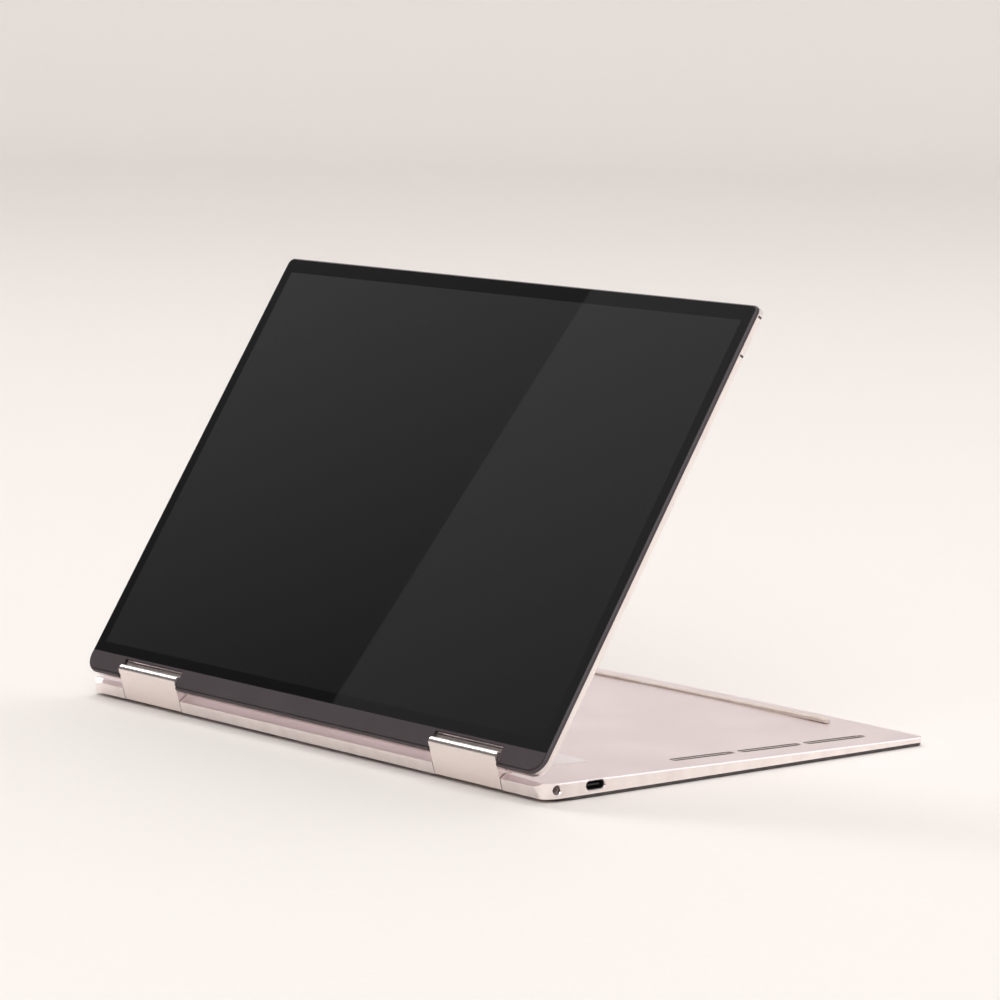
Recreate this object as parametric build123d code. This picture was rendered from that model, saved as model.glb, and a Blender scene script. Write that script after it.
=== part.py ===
from build123d import *
import os
from math import cos, radians, sin, sqrt

# Convertible laptop computer, standing like a tent stand: the keyboard side lies on the table, the
# bottom cover is uppermost, and the lid is folded round past 300 degrees so that the display leans back.
# Millimetres. +Z up, +X along the hinge towards the side with the audio jack, -Y towards the viewer of
# the display. The origin is on the table, under the middle of the base's footprint.

# ---- driving dimensions ----
WIDTH = 296.0
BASE_DEPTH = 207.0
LID_HEIGHT = 205.2
LID_THICK = 4.4
LID_LEAN = 57.48          # angle of the display face above the table
DECK_THICK = 1.5
COVER_REAR_HEIGHT = 9.1   # height of the cover's middle above the rear edge
COVER_FALL = 0.0195       # how far the cover's top falls for each millimetre towards the front
COVER_THICK = 1.0
WALL = 1.05
SIDE_WALL = 1.3

REAR = -BASE_DEPTH / 2    # the rear edge of the base, under the hinge
FRONT = BASE_DEPTH / 2
HALF = WIDTH / 2

# the base's top is crowned: an arc from side to side
CROWN_RADIUS = 6850.0

# rear wall, which leans outwards, and the bevel above it
REAR_LEAN_OUT = 1.45
REAR_WALL_TOP = 6.2
REAR_BEVEL_RUN = 7.75
REAR_BEVEL_TOP = 11.0
FRONT_BEVEL_RUN = 12.0
FRONT_LIP = 3.4
REAR_CORNER = 9.0
FRONT_CORNER = 4.0
SIDE_BEVEL = 0.5
SPARE = 0.5               # how far a solid runs past the tool that trims it
DECK_SETBACK = 6.0        # the deck starts this far in from the rear edge

# ---- hinges: two parallel axes joined by a link on each side ----
BASE_AXIS_Y = REAR + 2.2
BASE_AXIS_Z = 5.75
LINK_LENGTH = 8.49
LINK_LEAN = 16.5          # the link leans towards the viewer at rest
LINK_HALF_THICK = 3.35
LINK_BASE_END = 3.55
LINK_LID_END = 3.2
LINK_INNER_X = 82.7
LINK_OUTER_X = 122.5
LINK_GAP = 0.35
LINK_END_WALL = 1.6         # the wall at the lid end is this many times as thick as the others
LINK_ROUND = 2.0
LINK_GROOVE_AT = 0.1
LINK_GROOVE_WIDTH = 2.2
LINK_GROOVE_DEPTH = 0.75
NOTCH_DEPTH = 7.4
TROUGH_RADIUS = 4.3
LID_AXIS_BEHIND = 2.2     # lid axis behind the display face
LID_AXIS_UP = 4.0         # lid axis above the lid's lower edge
BASE_SHAFT_R = 1.2
BARREL_R = 1.6
LID_SHAFT_R = 0.95
RUNNING = 0.05            # radial clearance of a shaft that turns
SET = 0.02                # radial clearance of a shaft that is set fast
SHAFT_PASS = 0.3          # radial clearance where a shaft passes through a wall
BRACKET_INNER_X = 66.0
BRACKET_OUTER_X = 80.8

LINK_DIR = (-sin(radians(LINK_LEAN)), cos(radians(LINK_LEAN)))
LID_AXIS_Y = BASE_AXIS_Y + LINK_LENGTH * LINK_DIR[0]
LID_AXIS_Z = BASE_AXIS_Z + LINK_LENGTH * LINK_DIR[1]
LID_UP = (cos(radians(LID_LEAN)), sin(radians(LID_LEAN)))
LID_OUT = (-LID_UP[1], LID_UP[0])
# a plane on the display face: local X along the hinge, Y up the lid from its lower edge, Z outwards
LID_PLANE = Plane(
    origin=(
        0,
        LID_AXIS_Y - LID_AXIS_UP * LID_UP[0] + LID_AXIS_BEHIND * LID_OUT[0],
        LID_AXIS_Z - LID_AXIS_UP * LID_UP[1] + LID_AXIS_BEHIND * LID_OUT[1],
    ),
    x_dir=(1, 0, 0),
    z_dir=(0, LID_OUT[0], LID_OUT[1]),
)
# a plane across the link: local X towards the front of the base, Y from the base axis to the lid axis
LINK_PLANE = Plane(
    origin=(0, BASE_AXIS_Y, BASE_AXIS_Z),
    x_dir=(0, LINK_DIR[1], -LINK_DIR[0]),
    z_dir=(1, 0, 0),
)
# a plane on the flat of the cover: local X along the hinge, Y from the rear edge to the front
COVER_PLANE = Plane(origin=(0, REAR, COVER_REAR_HEIGHT), x_dir=(1, 0, 0), z_dir=(0, COVER_FALL, 1))

# ---- lid ----
LID_WALL = 1.2
LID_BACK = 0.7
BEZEL_DEPTH = 1.4
LID_LOW_CORNER = 7.5
LID_HIGH_CORNER = 3.4
CHIN = 9.3
CHIN_PLATE = 0.65
GLASS_THICK = 0.7
GLASS_INSET = 0.95
RIM_ROUND = 1.0
PANEL_THICK = 1.5

# ---- keyboard, with its function row nearest the hinge ----
KEY_PITCH = 18.8
ROW_PITCH = 17.0
KEY_GAP = 1.6
KEY_CLEAR = 0.35
KEY_RECESS = 0.35
KEY_THICK = 1.1
ROW_UNITS = 15
FUNCTION_Y = REAR + 18.0
FUNCTION_DEPTH = 8.5
MAIN_ROWS_Y = REAR + 28.0
ROWS = {
    "number_keys": [1] * 13 + [2],
    "upper_letter_keys": [1.5] + [1] * 12 + [1.5],
    "home_letter_keys": [1.75] + [1] * 11 + [2.25],
    "lower_letter_keys": [2.25] + [1] * 10 + [2.75],
}
LEFT_OF_SPACE = [1.25, 1, 1, 1.25]
SPACE_UNITS = 5.5
RIGHT_OF_SPACE = [1, 1]
KEYBOARD_TRAY_TOP = 2.9

# ---- touchpad ----
PAD_HALF_WIDTH = 56.0
PAD_REAR_Y = REAR + 124.0
PAD_DEPTH = 70.0
PAD_RECESS = 0.2
PAD_THICK = 1.0
PAD_CLEAR = 0.35

# ---- ports ----
JACK_BORE_R = 1.8
JACK_Y = REAR + 5.4
JACK_Z = 4.85
JACK_DEPTH = 14.0
JACK_FACE_X = HALF - 1.4
JACK_FLARE = 0.4
MOUTH_STEP = 0.3
USB_Y = REAR + 25.0
USB_Z = 4.75
USB_WIDTH = 9.0
USB_HEIGHT = 3.2
USB_DEPTH = 7.4
CARD_Y = REAR + 47.0
CARD_Z = 4.4

# ---- cover furniture ----
SLOT_X = 134.0
SLOT_LENGTH = 33.5
SLOT_PITCH = 37.0
SLOT_WIDTH = 3.2
SLOT_STEP = 0.5
SLOT_FIRST_Y = 77.5
FOOT_HALF_LENGTH = 107.0
FOOT_WIDTH = 3.2
FOOT_HEIGHT = 0.9
FOOT_SINK = 0.5
FRONT_FOOT_Y = 192.3
REAR_FOOT_Y = 14.0
LABEL_THICK = 0.12

# ---- cooling ----
FAN_X = 42.0
FAN_Y = REAR + 42.0
FAN_HALF = 20.0
FAN_LOW = 3.2
FAN_HIGH = 6.4
FAN_SHEET = 0.35
ROTOR_R = 18.2
HUB_R = 8.5
BLADES = 31
SPINDLE_R = 1.0


def box(x0, x1, y0, y1, z0, z1):
    centre = Pos((x0 + x1) / 2, (y0 + y1) / 2, (z0 + z1) / 2)
    return centre * Box(x1 - x0, y1 - y0, z1 - z0)


def rod(x0, x1, y, z, radius):
    """A cylinder along X."""
    return Pos((x0 + x1) / 2, y, z) * Rot(0, 90, 0) * Cylinder(radius, x1 - x0)


def both_sides(shape):
    return [shape, mirror(shape, about=Plane.YZ)]


def outline(half_width, low, high, low_corner, high_corner):
    """A rectangle in X and Y whose corners at low Y and at high Y have their own radii."""
    sheet = Pos(0, (low + high) / 2) * Rectangle(2 * half_width, high - low)
    sheet = fillet(sheet.vertices().group_by(Axis.Y)[0], low_corner)
    return fillet(sheet.vertices().group_by(Axis.Y)[-1], high_corner)


def slab(sheet, low, high):
    return Pos(0, 0, low) * extrude(sheet, high - low)


def along_x(points, x0, x1):
    """A polygon given in Y and Z, extruded from x0 to x1."""
    face = make_face(Plane.YZ.offset(x0) * Polyline(*points, close=True))
    return extrude(face, x1 - x0, dir=(1, 0, 0))


def on_lid(shape):
    return LID_PLANE.location * shape


def on_cover(shape):
    return COVER_PLANE.location * shape


# ---------------------------------------------------------------- base casing
def crown_drop(x):
    return CROWN_RADIUS - sqrt(CROWN_RADIUS**2 - x**2)


def along_cover(sheet):
    """A sheet drawn across the base, as X and height above the cover's middle, swept from rear to front."""
    start = 20.0
    height = COVER_REAR_HEIGHT + COVER_FALL * start
    plane = Plane(origin=(0, REAR - start, height), x_dir=(1, 0, 0), z_dir=(0, -1, COVER_FALL))
    return extrude(plane * sheet, BASE_DEPTH + 2 * start, dir=(0, 1, -COVER_FALL))


def under_crown(lift):
    """Everything below the crowned top of the base, moved up by lift."""
    edge = HALF + 4
    edge_z = lift - crown_drop(edge)
    rim = ThreePointArc((-edge, edge_z), (0, lift), (edge, edge_z))
    rim += Polyline((edge, edge_z), (edge, -30), (-edge, -30), (-edge, edge_z))
    return along_cover(make_face(rim))


def footprint(inset):
    rear = REAR - REAR_LEAN_OUT - SPARE + inset
    return outline(HALF - inset, rear, FRONT - inset, REAR_CORNER - inset, FRONT_CORNER - inset)


def side_bevels():
    """Long wedges that take the sharp edge off where the cover's top meets its side walls."""
    top = 0.04 - crown_drop(HALF)
    reach = 1.0
    corners = [
        (HALF - SIDE_BEVEL, top),
        (HALF + reach, top - SIDE_BEVEL - reach),
        (HALF + reach, top),
    ]
    return both_sides(along_cover(make_face(Polyline(*corners, close=True))))


def base_body(inset, side_inset, lift):
    """The base's outer form, or the same form with its walls moved in and its top moved down."""
    front_fall = (REAR_BEVEL_TOP - FRONT_LIP) / FRONT_BEVEL_RUN
    profile = [
        (REAR, DECK_THICK),
        (REAR - REAR_LEAN_OUT, REAR_WALL_TOP),
        (REAR - REAR_LEAN_OUT + REAR_BEVEL_RUN, REAR_BEVEL_TOP),
        (FRONT - FRONT_BEVEL_RUN, REAR_BEVEL_TOP),
        (FRONT + SPARE + inset, FRONT_LIP - front_fall * (SPARE + inset)),
        (FRONT + SPARE + inset, DECK_THICK),
    ]
    face = make_face(Plane.YZ.offset(-HALF - SPARE) * Polyline(*profile, close=True))
    if inset:
        face = offset(face, amount=-inset, kind=Kind.INTERSECTION)
    body = extrude(face, WIDTH + 2 * SPARE, dir=(1, 0, 0)) & under_crown(lift)
    return body & slab(footprint(side_inset), -5, 20)


def link_section(shrink):
    """The hinge link's outline: square at its base end, with rounded corners at its lid end."""
    low = -LINK_BASE_END + shrink
    high = LINK_LENGTH + LINK_LID_END - shrink * LINK_END_WALL
    sheet = Pos(0, (low + high) / 2) * Rectangle(2 * (LINK_HALF_THICK - shrink), high - low)
    viewer_corner = sheet.vertices().group_by(Axis.Y)[-1].sort_by(Axis.X)[0]
    sheet = fillet(viewer_corner, LINK_ROUND - shrink / 2)
    back_corner = sheet.vertices().group_by(Axis.Y)[-1].sort_by(Axis.X)[-1]
    sheet = fillet(back_corner, 1.5 - shrink / 2)
    return fillet(sheet.vertices().group_by(Axis.Y)[0], 0.5)


def link_groove():
    """A groove along the link's lid end, which parts its front plate from its rounded back."""
    middle = LINK_LENGTH + LINK_LID_END
    sheet = Pos(LINK_GROOVE_AT, middle) * Rectangle(LINK_GROOVE_WIDTH, 2 * LINK_GROOVE_DEPTH)
    return link_piece(sheet, LINK_INNER_X - 1, LINK_OUTER_X + 1)


def link_piece(sheet, x0, x1):
    return Pos(x0, 0, 0) * extrude(LINK_PLANE * sheet, x1 - x0, dir=(1, 0, 0))


def notch(spare):
    """The space behind the rear edge that one hinge link swings in."""
    low_x = LINK_INNER_X - LINK_GAP - spare
    high_x = LINK_OUTER_X + LINK_GAP + spare
    return box(low_x, high_x, REAR - 5, REAR + NOTCH_DEPTH + spare, -1, 20)


def usb_opening(side, x0, x1, grow):
    """A flat rounded opening across the side wall."""
    sheet = SlotOverall(USB_WIDTH + 2 * grow, USB_HEIGHT + 2 * grow)
    plane = Plane(origin=(x0, USB_Y, USB_Z), x_dir=(0, 1, 0), z_dir=(1, 0, 0))
    opening = extrude(plane * sheet, x1 - x0, dir=(1, 0, 0))
    return opening if side > 0 else mirror(opening, about=Plane.YZ)


def speaker_slots(low, high, grow=0.0):
    slots = []
    for number in range(3):
        y = SLOT_FIRST_Y + SLOT_PITCH * number + SLOT_LENGTH / 2
        sheet = Pos(SLOT_X, y) * Rot(0, 0, 90) * SlotOverall(SLOT_LENGTH + 2 * grow, SLOT_WIDTH + 2 * grow)
        slots += both_sides(on_cover(slab(sheet, low, high)))
    return slots


def intake_slots():
    slots = []
    for number in range(9):
        x = FAN_X - 16 + 4 * number
        sheet = Pos(x, FAN_Y - REAR) * Rot(0, 0, 90) * SlotOverall(26, 1.6)
        slots += both_sides(on_cover(slab(sheet, -3, 1)))
    return slots


def exhaust_slots():
    slots = []
    for number in range(12):
        x = FAN_X - 16.5 + 3 * number
        slots += both_sides(box(x - 1, x + 1, REAR + 2.6, REAR + 5.2, 0, 4))
    return slots


def foot(y, half_length, sink):
    sheet = Pos(0, y) * SlotOverall(2 * half_length, FOOT_WIDTH)
    return on_cover(slab(sheet, -sink, FOOT_HEIGHT))


def screw_places():
    """Four screws near the rear. The front edge would be clipped in."""
    return [(x, 24.0) for x in (-52.0, -20.0, 20.0, 52.0)]


def cover_screw(x, y, grow):
    """A flat-headed screw, flush with the cover, or the hole for one."""
    top = -crown_drop(x)
    head = Pos(x, y, top - 0.35) * Cylinder(1.9 + grow, 0.7)
    shank = Pos(x, y, top - 1.2) * Cylinder(0.8 + grow, 1.4)
    return on_cover(head + shank)


def make_base_cover():
    cover = base_body(0, 0, 0)
    for wedge in side_bevels():
        cover -= wedge
    hollow = base_body(WALL, SIDE_WALL, -COVER_THICK)
    hollow += slab(footprint(SIDE_WALL), 0, 3) - box(-HALF, HALF, REAR - 5, REAR + 6.8, -1, 4)
    for wall in both_sides(notch(1.2)):
        hollow -= wall
    cover -= hollow
    for gap in both_sides(notch(0)):
        cover -= gap
    pass_r = BASE_SHAFT_R + SHAFT_PASS
    for bore in both_sides(rod(LINK_INNER_X - 3, LINK_INNER_X, BASE_AXIS_Y, BASE_AXIS_Z, pass_r)):
        cover -= bore
    relief = rod(BRACKET_INNER_X - 0.3, BRACKET_OUTER_X, BASE_AXIS_Y, BASE_AXIS_Z, BARREL_R + 0.05)
    for bore in both_sides(relief):
        cover -= bore
    cover -= rod(HALF - 4, HALF + 1, JACK_Y, JACK_Z, JACK_BORE_R)
    mouth = Cone(JACK_BORE_R, JACK_BORE_R + JACK_FLARE + SPARE, JACK_FLARE + SPARE)
    cover -= Pos(HALF + (SPARE - JACK_FLARE) / 2, JACK_Y, JACK_Z) * Rot(0, 90, 0) * mouth
    cover -= rod(JACK_FACE_X - JACK_DEPTH - 2, JACK_FACE_X + 0.05, JACK_Y, JACK_Z, JACK_BORE_R + 0.35)
    for side in (1, -1):
        cover -= usb_opening(side, HALF - 12, HALF + 1, 0.3)
        cover -= usb_opening(side, HALF - MOUTH_STEP, HALF + 1, 0.3 + MOUTH_STEP)
    cover -= box(-HALF - 1, -HALF + 14, CARD_Y - 6.2, CARD_Y + 6.2, CARD_Z - 0.8, CARD_Z + 0.8)
    slot_top = -crown_drop(SLOT_X)
    rims = speaker_slots(slot_top - SLOT_STEP, 2, SLOT_STEP)
    for cut in speaker_slots(-4, 2) + rims + intake_slots() + exhaust_slots():
        cover -= cut
    cover -= foot(FRONT_FOOT_Y, FOOT_HALF_LENGTH, FOOT_SINK)
    cover -= foot(REAR_FOOT_Y, FOOT_HALF_LENGTH - 30, FOOT_SINK)
    for x, y in screw_places():
        cover -= cover_screw(x, y, 0.05)
    return cover


def key_spans(units):
    """Left and right edges of each key in a row, from its widths in key units."""
    spans = []
    x = -ROW_UNITS * KEY_PITCH / 2
    for unit in units:
        spans.append((x + KEY_GAP / 2, x + unit * KEY_PITCH - KEY_GAP / 2))
        x += unit * KEY_PITCH
    return spans


def row_rectangles():
    """Every key as node name: list of (x0, x1, y0, y1)."""
    top = FUNCTION_Y
    functions = key_spans([1] * ROW_UNITS)
    deep = FUNCTION_DEPTH - 0.6
    rows = {"function_keys": [(x0, x1, top, top + deep) for x0, x1 in functions[:-1]]}
    rows["power_button"] = [(*functions[-1], top, top + deep)]
    for number, (name, units) in enumerate(ROWS.items()):
        top = MAIN_ROWS_Y + ROW_PITCH * number
        rows[name] = [(x0, x1, top, top + ROW_PITCH - KEY_GAP) for x0, x1 in key_spans(units)]
    top = MAIN_ROWS_Y + ROW_PITCH * len(ROWS)
    bottom = top + ROW_PITCH - KEY_GAP
    half = (bottom - top - KEY_GAP) / 2
    spans = key_spans(LEFT_OF_SPACE + [SPACE_UNITS] + RIGHT_OF_SPACE + [1, 1, 1])
    space = len(LEFT_OF_SPACE)
    left_arrow, up_down, right_arrow = spans[-3:]
    plain = spans[:space] + spans[space + 1:-3]
    rows["space_bar"] = [(*spans[space], top, bottom)]
    rows["bottom_row_keys"] = [(x0, x1, top, bottom) for x0, x1 in plain]
    low_keys = (left_arrow, up_down, right_arrow)
    rows["bottom_row_keys"] += [(*span, bottom - half, bottom) for span in low_keys]
    rows["bottom_row_keys"] += [(*up_down, top, top + half)]
    return rows


def key_block(rectangle, grow, low, high):
    x0, x1, y0, y1 = rectangle
    sheet = Pos((x0 + x1) / 2, (y0 + y1) / 2)
    sheet *= RectangleRounded(x1 - x0 + 2 * grow, y1 - y0 + 2 * grow, 1.2)
    return slab(sheet, low, high)


def make_keys(rectangles):
    return Compound(
        children=[key_block(r, 0, KEY_RECESS, KEY_RECESS + KEY_THICK) for r in rectangles]
    )


def make_deck():
    sheet = outline(HALF - 0.3, REAR + DECK_SETBACK, FRONT - 0.3, REAR_CORNER, FRONT_CORNER)
    deck = slab(sheet, 0, DECK_THICK)
    lower_rim = deck.faces().sort_by(Axis.Z)[0].edges()
    deck = fillet(lower_rim, 0.6)
    apertures = []
    for rectangles in row_rectangles().values():
        apertures += [key_block(r, KEY_CLEAR, -1, DECK_THICK + 1) for r in rectangles]
    apertures.append(pad_block(PAD_CLEAR, -1, DECK_THICK + 1))
    return deck - apertures


def pad_block(grow, low, high):
    middle = PAD_REAR_Y + PAD_DEPTH / 2
    sheet = Pos(0, middle) * RectangleRounded(2 * (PAD_HALF_WIDTH + grow), PAD_DEPTH + 2 * grow, 2.5)
    return slab(sheet, low, high)


def make_foot(y, half_length):
    """A moulded strip with a rounded top edge."""
    strip = foot(y, half_length, FOOT_SINK)
    return fillet(strip.faces().sort_by(Axis.Z)[-1].edges(), 0.35)


def make_label():
    block = box(60, 120, REAR + 17.5, REAR + 46.5, 0, 20)
    return block & (under_crown(LABEL_THICK) - under_crown(0))


def make_cover_screws():
    screws = []
    for x, y in screw_places():
        drive = Pos(x, y, -crown_drop(x)) * extrude(RegularPolygon(0.8, 6), 0.5, both=True)
        screws.append(cover_screw(x, y, 0) - on_cover(drive))
    return Compound(children=screws)


# ---------------------------------------------------------------- inside the base
def make_keyboard_tray():
    top = KEYBOARD_TRAY_TOP
    outer = box(-142, 142, REAR + 16.5, REAR + 115, DECK_THICK, top)
    return outer - box(-141.2, 141.2, REAR + 17.3, REAR + 114.2, 1, top - 0.4)


def make_touchpad_bracket():
    outer = box(-61, 61, REAR + 120, REAR + 198, DECK_THICK, 2.3)
    reach = PAD_CLEAR + 0.2
    return outer - pad_block(reach, 1, 1.95)


def battery_ceiling(piece):
    return piece & under_crown(-COVER_THICK - 0.4)


def make_battery_cells():
    side_cells = []
    for x0, x1 in ((63, 88), (89, 114)):
        cell = box(x0, x1, REAR + 122, REAR + 196, 1.6, 3.3)
        side_cells += both_sides(battery_ceiling(cell))
    middle = box(-56, 56, REAR + 122, REAR + 158, 2.4, 4.2)
    return Compound(children=side_cells + [battery_ceiling(middle)])


def make_battery_board():
    return box(-52, 52, REAR + 116, REAR + 120, 1.6, 2.6)


def make_mainboard():
    board = box(-104, 104, REAR + 66, REAR + 108, 3.2, 4.0)
    for x, y in ((-98, 70), (98, 70), (-98, 104), (98, 104), (0, 104)):
        board -= Pos(x, REAR + y, 3.6) * Cylinder(1.2, 2)
    return board


def make_processor():
    carrier = box(-13, 13, REAR + 72, REAR + 96, 4.0, 4.4)
    return carrier + box(-6, 6, REAR + 76, REAR + 90, 4.4, 4.85)


def make_memory_chips():
    chips = [box(x, x + 11, REAR + 74, REAR + 88, 4.0, 4.8) for x in (22, 35)]
    chips += [box(x, x + 13, REAR + 74, REAR + 92, 4.0, 4.9) for x in (-38, -56)]
    return Compound(children=chips)


def make_wireless_card():
    return box(-12, 12, REAR + 44, REAR + 62, 3.2, 3.9)


def make_heat_pipe():
    """A flattened pipe that climbs from the processor to a cross bar over the fins."""
    rise = [(92, 4.9), (38, 4.9), (24, 6.35), (13, 6.35), (13, 7.25), (24.5, 7.25), (38.5, 5.8), (92, 5.8)]
    spine = along_x([(REAR + y, z) for y, z in rise], -5, 5)
    return spine + box(-58, 58, REAR + 13, REAR + 20, 6.35, 7.25)


def make_cooling_fins():
    stacks = []
    for middle in (FAN_X, -FAN_X):
        stack = box(middle - 16, middle + 16, REAR + 12, REAR + 20.5, FAN_LOW, 6.3)
        for number in range(20):
            x = middle - 15.2 + 1.6 * number
            stack -= box(x - 0.6, x + 0.6, REAR + 11, REAR + 21, FAN_LOW + 0.3, 6.0)
        stacks.append(stack)
    return Compound(children=stacks)


def make_fan_housing():
    x0, x1 = FAN_X - FAN_HALF, FAN_X + FAN_HALF
    y0, y1 = FAN_Y - FAN_HALF, FAN_Y + FAN_HALF
    housing = box(x0, x1, y0, y1, FAN_LOW, FAN_HIGH)
    housing -= box(x0 + 0.8, x1 - 0.8, y0 - 1, y1 - 0.8, FAN_LOW + FAN_SHEET, FAN_HIGH - FAN_SHEET)
    intake = Pos(FAN_X, FAN_Y, FAN_HIGH) * Cylinder(13, 2)
    spindle = Pos(FAN_X, FAN_Y, FAN_LOW + 1.3) * Cylinder(SPINDLE_R, 2.6)
    return housing - intake + spindle


def make_fan_rotor():
    sheet = Circle(HUB_R)
    for turn in range(BLADES):
        blade = Pos((HUB_R + ROTOR_R) / 2, 0) * Rot(0, 0, 20) * Rectangle(ROTOR_R - HUB_R + 1, 0.4)
        sheet += Rot(0, 0, 360 * turn / BLADES) * blade
    sheet = (sheet & Circle(ROTOR_R)) - Circle(SPINDLE_R + RUNNING)
    return Pos(FAN_X, FAN_Y, FAN_LOW + 0.75) * extrude(sheet, 1.6)


def make_speaker():
    block = box(119, 141, REAR + 118, REAR + 152, 1.6, 3.3)
    return block & under_crown(-COVER_THICK - 0.9)


def make_speaker_mesh():
    strip = box(SLOT_X - 2.2, SLOT_X + 2.2, REAR + 74, REAR + 185, 0, 20)
    mesh = strip & (under_crown(-COVER_THICK - 0.02) - under_crown(-COVER_THICK - 0.25))
    return Compound(children=both_sides(mesh))


def make_usb_port(side):
    depth = USB_DEPTH
    face_x = HALF - 0.5
    block = usb_opening(side, face_x - depth - 1, face_x, 0.25)
    block -= usb_opening(side, face_x - depth, face_x + 1, 0)
    x0 = face_x - depth
    tongue = box(x0 - 0.2, x0 + depth - 1.2, USB_Y - 3.3, USB_Y + 3.3, USB_Z - 0.35, USB_Z + 0.35)
    return block + (tongue if side > 0 else mirror(tongue, about=Plane.YZ))


def make_headphone_jack():
    barrel = rod(JACK_FACE_X - JACK_DEPTH - 1, JACK_FACE_X, JACK_Y, JACK_Z, JACK_BORE_R + 0.3)
    return barrel - rod(JACK_FACE_X - JACK_DEPTH, JACK_FACE_X + 1, JACK_Y, JACK_Z, JACK_BORE_R)


def make_card_slot():
    x0 = -HALF + 0.4
    slot = box(x0, x0 + 13, CARD_Y - 6.1, CARD_Y + 6.1, CARD_Z - 0.75, CARD_Z + 0.75)
    return slot - box(x0 - 1, x0 + 12.6, CARD_Y - 5.6, CARD_Y + 5.6, CARD_Z - 0.45, CARD_Z + 0.45)


def make_base_magnets():
    blocks = [box(x - 8, x + 8, REAR + 201.5, REAR + 204.2, 1.6, 2.9) for x in (-90, -55, 55, 90)]
    return Compound(children=blocks)


# ---------------------------------------------------------------- hinges
def make_base_bracket():
    """An arm screwed inside the base, with a barrel that holds the base shaft fast."""
    arm = box(BRACKET_INNER_X, BRACKET_OUTER_X - 1, BASE_AXIS_Y + 0.8, REAR + 20, 3.5, 4.5)
    arm += rod(BRACKET_INNER_X, BRACKET_OUTER_X, BASE_AXIS_Y, BASE_AXIS_Z, BARREL_R)
    arm -= rod(0, HALF, BASE_AXIS_Y, BASE_AXIS_Z, BASE_SHAFT_R + SET)
    for y in (9, 16):
        arm -= Pos(73, REAR + y, 4) * Cylinder(1.05, 4)
    return arm


def make_bracket_screws():
    screws = []
    for y in (9, 16):
        screw = Pos(73, REAR + y, 4.8) * Cylinder(1.8, 0.6)
        screw += Pos(73, REAR + y, 4.0) * Cylinder(1.0, 1.6)
        screws += both_sides(screw - Pos(73, REAR + y, 5.1) * Box(1.8, 0.4, 0.5))
    return Compound(children=screws)


def make_base_shaft():
    return rod(BRACKET_INNER_X + 1, LINK_OUTER_X - 3, BASE_AXIS_Y, BASE_AXIS_Z, BASE_SHAFT_R)


def make_lid_shaft():
    return rod(BRACKET_INNER_X + 1, LINK_OUTER_X - 3, LID_AXIS_Y, LID_AXIS_Z, LID_SHAFT_R)


def make_link_frame():
    """The steel core of one hinge link, which turns on both shafts."""
    core = link_piece(link_section(0.85), LINK_INNER_X + 0.75, LINK_OUTER_X - 0.75)
    core -= rod(0, LINK_OUTER_X - 2.5, BASE_AXIS_Y, BASE_AXIS_Z, BASE_SHAFT_R + RUNNING)
    return core - rod(0, LINK_OUTER_X - 2.5, LID_AXIS_Y, LID_AXIS_Z, LID_SHAFT_R + RUNNING)


def make_link_cover():
    """The silver box round one hinge link."""
    shell = link_piece(link_section(0), LINK_INNER_X, LINK_OUTER_X)
    shell -= link_piece(link_section(0.8), LINK_INNER_X + 0.7, LINK_OUTER_X - 0.7)
    shell -= link_groove()
    inner = LINK_INNER_X + 2
    shell -= rod(LINK_INNER_X - 1, inner, BASE_AXIS_Y, BASE_AXIS_Z, BASE_SHAFT_R + SHAFT_PASS)
    return shell - rod(LINK_INNER_X - 1, inner, LID_AXIS_Y, LID_AXIS_Z, LID_SHAFT_R + SHAFT_PASS)


# ---------------------------------------------------------------- lid, in the lid plane
def lid_outline(inset):
    return outline(
        HALF - inset, inset, LID_HEIGHT - inset, LID_LOW_CORNER - inset, LID_HIGH_CORNER - inset
    )


def trough(spare):
    """Room in the lid's lower edge for one hinge link to turn in."""
    low_x = LINK_INNER_X - LINK_GAP - spare
    high_x = LINK_OUTER_X + LINK_GAP + spare
    radius = TROUGH_RADIUS + spare
    hollow = rod(low_x, high_x, LID_AXIS_UP, -LID_AXIS_BEHIND, radius)
    hollow += box(low_x, high_x, -3, LID_AXIS_UP, -LID_AXIS_BEHIND - radius, radius - LID_AXIS_BEHIND)
    return both_sides(hollow)


def lid_shaft_holes():
    return both_sides(rod(LINK_INNER_X - 3, LINK_INNER_X, LID_AXIS_UP, -LID_AXIS_BEHIND, LID_SHAFT_R + 0.3))


def antenna_slots(grow):
    """Thin breaks in the shell's side walls, which let radio through."""
    slots = []
    low, high = -LID_THICK + LID_BACK, -BEZEL_DEPTH - 0.4
    for height in (LID_HEIGHT - 22, LID_HEIGHT - 4.6):
        slots += both_sides(box(HALF - LID_WALL, HALF + grow, height, height + 1.0, low, high))
    return slots


def make_lid_shell():
    shell = slab(lid_outline(0), -LID_THICK, -BEZEL_DEPTH)
    shell = fillet(shell.faces().sort_by(Axis.Z)[0].edges(), 1.0)
    hollow = slab(lid_outline(LID_WALL), -LID_THICK + LID_BACK, 1)
    for wall in trough(0.9):
        hollow -= wall
    shell -= hollow
    for cut in trough(0) + lid_shaft_holes() + antenna_slots(1):
        shell -= cut
    return on_lid(shell)


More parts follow.
